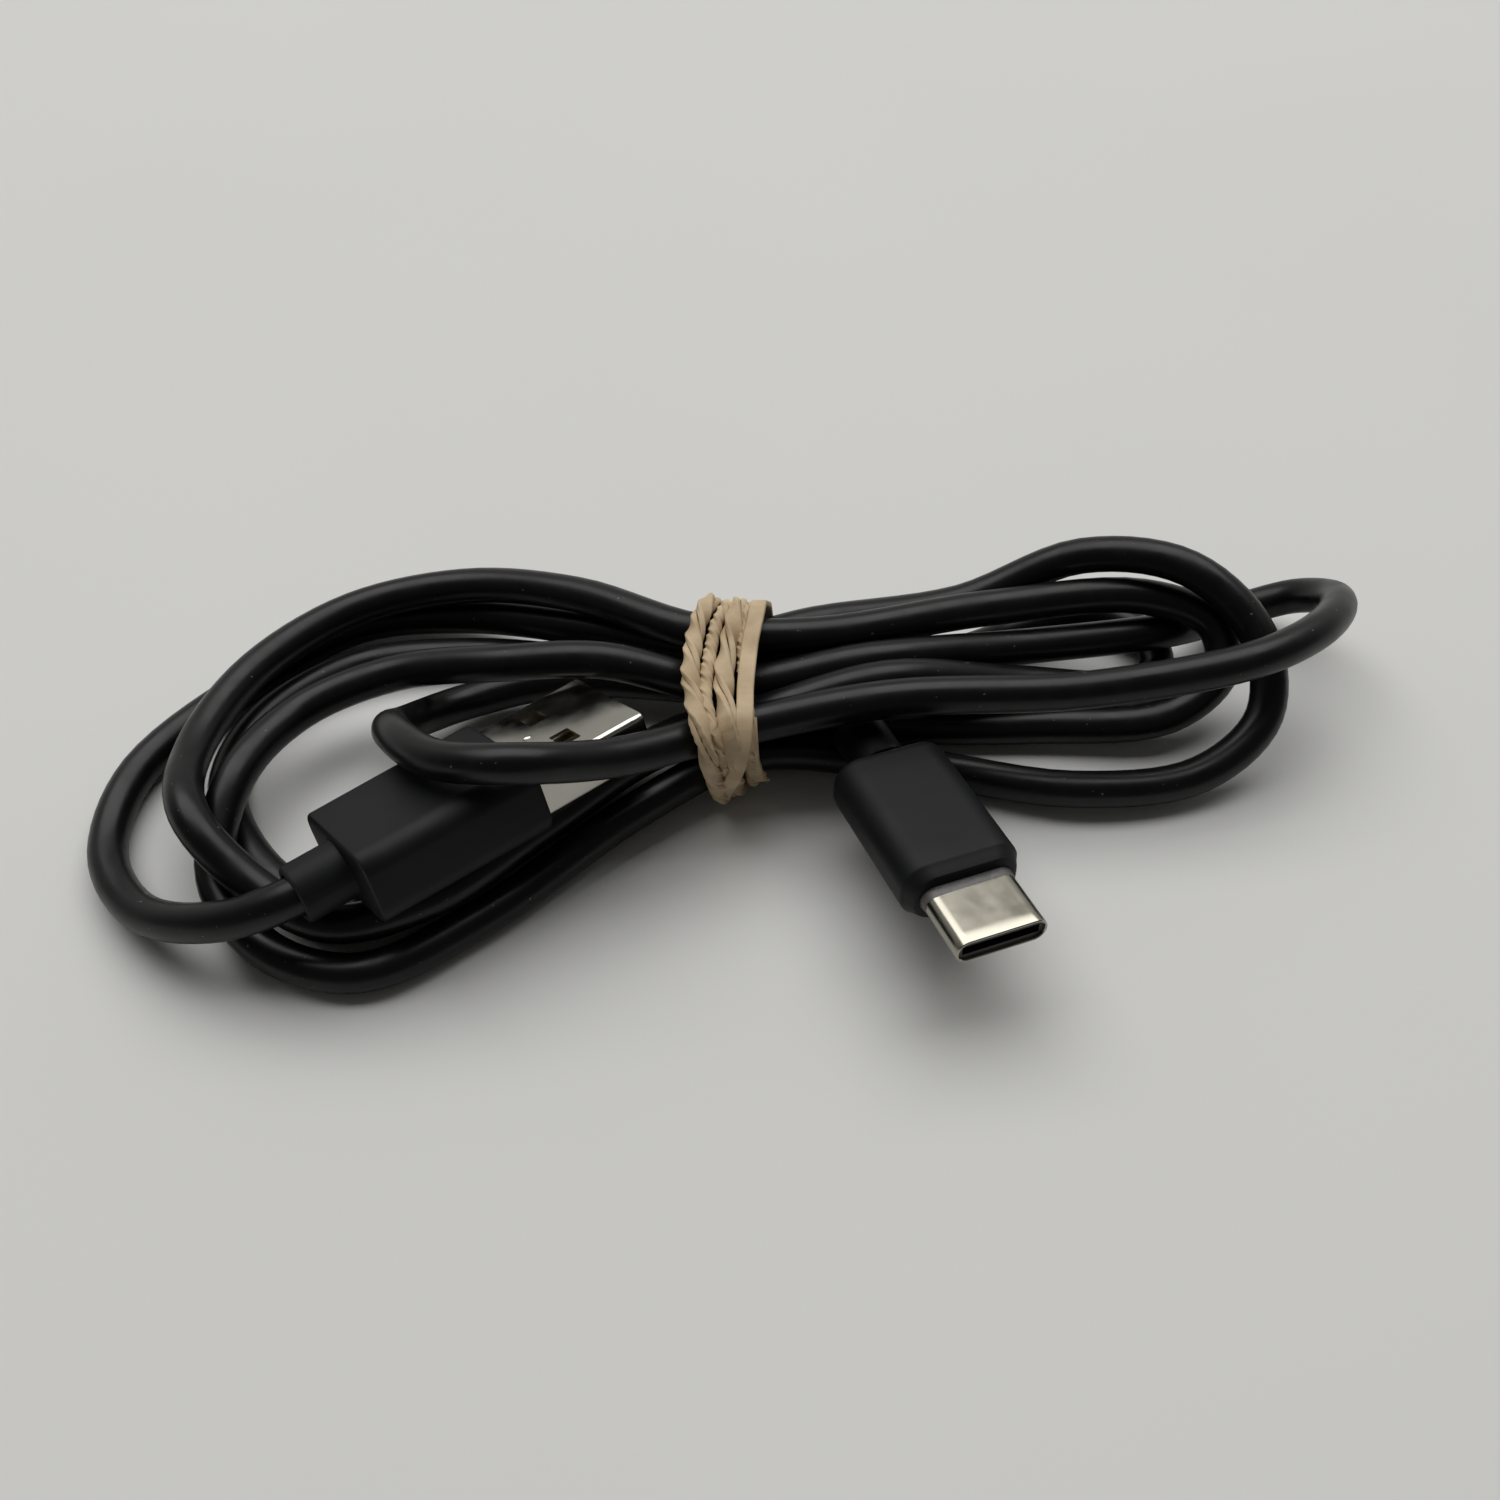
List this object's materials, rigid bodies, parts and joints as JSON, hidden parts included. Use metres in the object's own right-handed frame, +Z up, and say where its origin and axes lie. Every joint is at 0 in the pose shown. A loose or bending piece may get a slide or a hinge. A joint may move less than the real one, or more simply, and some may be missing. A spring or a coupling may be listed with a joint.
{
  "type": "charging cable",
  "caption": "Black USB-A to USB-C charging cable, its limp lead wound into a flat hank and held at the waist by a twisted tan rubber band.",
  "frame": {"origin": "on the table, under the middle of the whole hank with both plugs", "axes": "+X along the hank, from the loop by the USB-A plug to the far small loop; +Y to the side away from the USB-C plug; +Z up from the table"},
  "size_m": [0.1184, 0.0482, 0.0189],
  "materials": {
    "black_jacket": "satin black PVC with a soft sheen",
    "black_moulding": "fine-grained matte black moulding",
    "nickel": "bright nickel plate, slightly brushed",
    "gold_plate": "thin gold plate",
    "white_plastic": "off-white glass-filled plastic",
    "dark_plastic": "black glass-filled plastic",
    "clear_plastic": "milky inner moulding",
    "board": "green solder mask",
    "tan_rubber": "matte pale tan latex",
    "wire_red": "red insulation",
    "wire_white": "white insulation",
    "wire_green": "green insulation",
    "wire_black": "black insulation"
  },
  "bodies": {
    "hank": {"cable_jacket": "black_jacket", "usb_a_contact_data_minus": "gold_plate", "usb_a_contact_data_plus": "gold_plate", "usb_a_contact_ground": "gold_plate", "usb_a_contact_power": "gold_plate", "usb_a_crimp": "nickel", "usb_a_inner_mould": "clear_plastic", "usb_a_overmould": "black_moulding", "usb_a_shell": "nickel", "usb_a_tongue": "white_plastic", "usb_a_wire_black": "wire_black", "usb_a_wire_green": "wire_green", "usb_a_wire_red": "wire_red", "usb_a_wire_white": "wire_white"},
    "usb_c_plug": {"usb_c_board": "board", "usb_c_cable_tail": "black_jacket", "usb_c_contact_lower_1": "gold_plate", "usb_c_contact_lower_2": "gold_plate", "usb_c_contact_lower_3": "gold_plate", "usb_c_contact_lower_4": "gold_plate", "usb_c_contact_lower_5": "gold_plate", "usb_c_contact_upper_1": "gold_plate", "usb_c_contact_upper_2": "gold_plate", "usb_c_contact_upper_3": "gold_plate", "usb_c_contact_upper_4": "gold_plate", "usb_c_contact_upper_5": "gold_plate", "usb_c_contact_upper_6": "gold_plate", "usb_c_contact_upper_7": "gold_plate", "usb_c_crimp": "nickel", "usb_c_housing": "dark_plastic", "usb_c_inner_mould": "clear_plastic", "usb_c_latch_left": "nickel", "usb_c_latch_right": "nickel", "usb_c_overmould": "black_moulding", "usb_c_rear_sleeve": "nickel", "usb_c_resistor": "dark_plastic", "usb_c_shell": "nickel", "usb_c_wire_black": "wire_black", "usb_c_wire_green": "wire_green", "usb_c_wire_red": "wire_red", "usb_c_wire_white": "wire_white"},
    "band": {"rubber_band": "tan_rubber"}
  },
  "joints": [
    {"name": "usb_c_flex", "type": "hinge", "parent": "hank", "child": "usb_c_plug", "pos_m": [0.01005, 0.00313, 0.00625], "axis": [-0.0049, 0.1496, 0.9887], "range_deg": [-6, 6]},
    {"name": "band_slide", "type": "slide", "parent": "hank", "child": "band", "axis": [1, 0, 0], "range_m": [-0.0006, 0.0006]}
  ]
}
